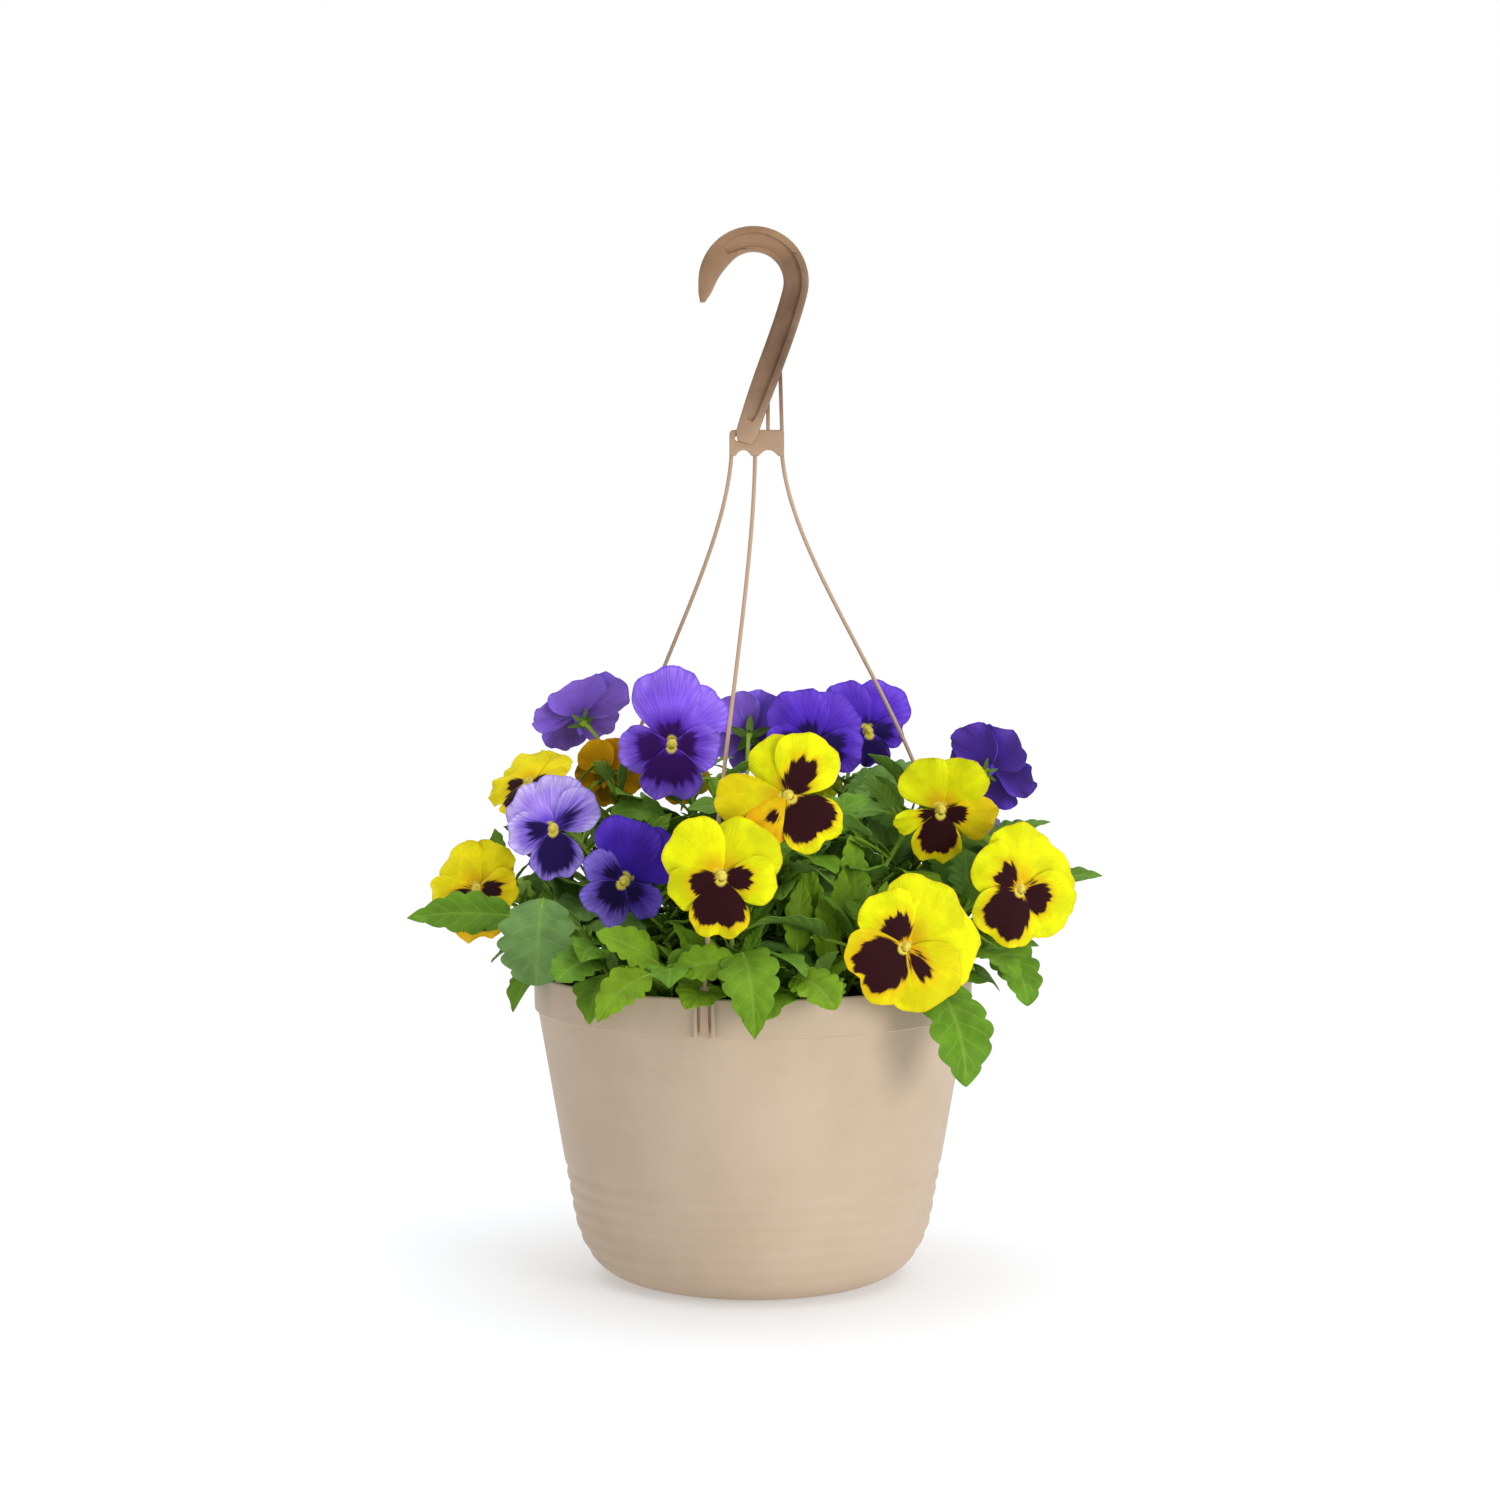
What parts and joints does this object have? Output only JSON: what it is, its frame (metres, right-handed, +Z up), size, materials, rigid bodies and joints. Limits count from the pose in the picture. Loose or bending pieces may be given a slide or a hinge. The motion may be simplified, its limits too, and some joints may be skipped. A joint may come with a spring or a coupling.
{
  "type": "potted pansy planter",
  "caption": "Round plastic hanging basket with a moulded hanger and hook, filled with soil and a mound of violet and yellow pansies, standing on its flat foot.",
  "frame": {"origin": "centre of the pot's underside", "axes": "+Z up to the hook's top; -Y is the basket's front; +X is the viewer's right seen from the front"},
  "size_m": [0.3964, 0.3392, 0.6054],
  "materials": {
    "pot": "satin beige",
    "hanger": "satin tan",
    "soil": "rough dark potting mix",
    "foliage": "waxy green",
    "violet_petals": "velvety violet",
    "yellow_petals": "velvety yellow with dark blotches"
  },
  "bodies": {
    "root": {"pot": "pot", "soil": "soil", "hanger": "hanger", "shoot_v1": "foliage", "shoot_v2": "foliage", "shoot_v3": "foliage", "shoot_v4": "foliage", "shoot_v5": "foliage", "shoot_v6": "foliage", "shoot_v7": "foliage", "shoot_v8": "foliage", "shoot_v9": "foliage", "shoot_v10": "foliage", "shoot_v11": "foliage", "shoot_y1": "foliage", "shoot_y2": "foliage", "shoot_y3": "foliage", "shoot_y4": "foliage", "shoot_y5": "foliage", "shoot_y6": "foliage", "shoot_y7": "foliage", "shoot_y8": "foliage", "shoot_y9": "foliage", "shoot_y10": "foliage", "shoot_y11": "foliage", "shoot_y12": "foliage", "shoot_s1": "foliage", "shoot_s2": "foliage", "shoot_s3": "foliage", "shoot_s4": "foliage", "shoot_s5": "foliage", "shoot_s6": "foliage", "shoot_s7": "foliage", "shoot_s8": "foliage", "shoot_s9": "foliage", "shoot_s10": "foliage", "bloom_v1": "violet_petals", "bloom_v2": "violet_petals", "bloom_v3": "violet_petals", "bloom_v4": "violet_petals", "bloom_v5": "violet_petals", "bloom_v6": "violet_petals", "bloom_v7": "violet_petals", "bloom_v8": "violet_petals", "bloom_y1": "yellow_petals", "bloom_y2": "yellow_petals", "bloom_y3": "yellow_petals", "bloom_y4": "yellow_petals", "bloom_y5": "yellow_petals", "bloom_y6": "yellow_petals", "bloom_y7": "yellow_petals", "bloom_y8": "yellow_petals", "bloom_y9": "yellow_petals", "bloom_v9": "violet_petals", "bloom_y10": "yellow_petals", "bloom_v10": "violet_petals", "bloom_y11": "yellow_petals", "bloom_v11": "violet_petals", "bloom_y12": "yellow_petals"}
  },
  "joints": []
}
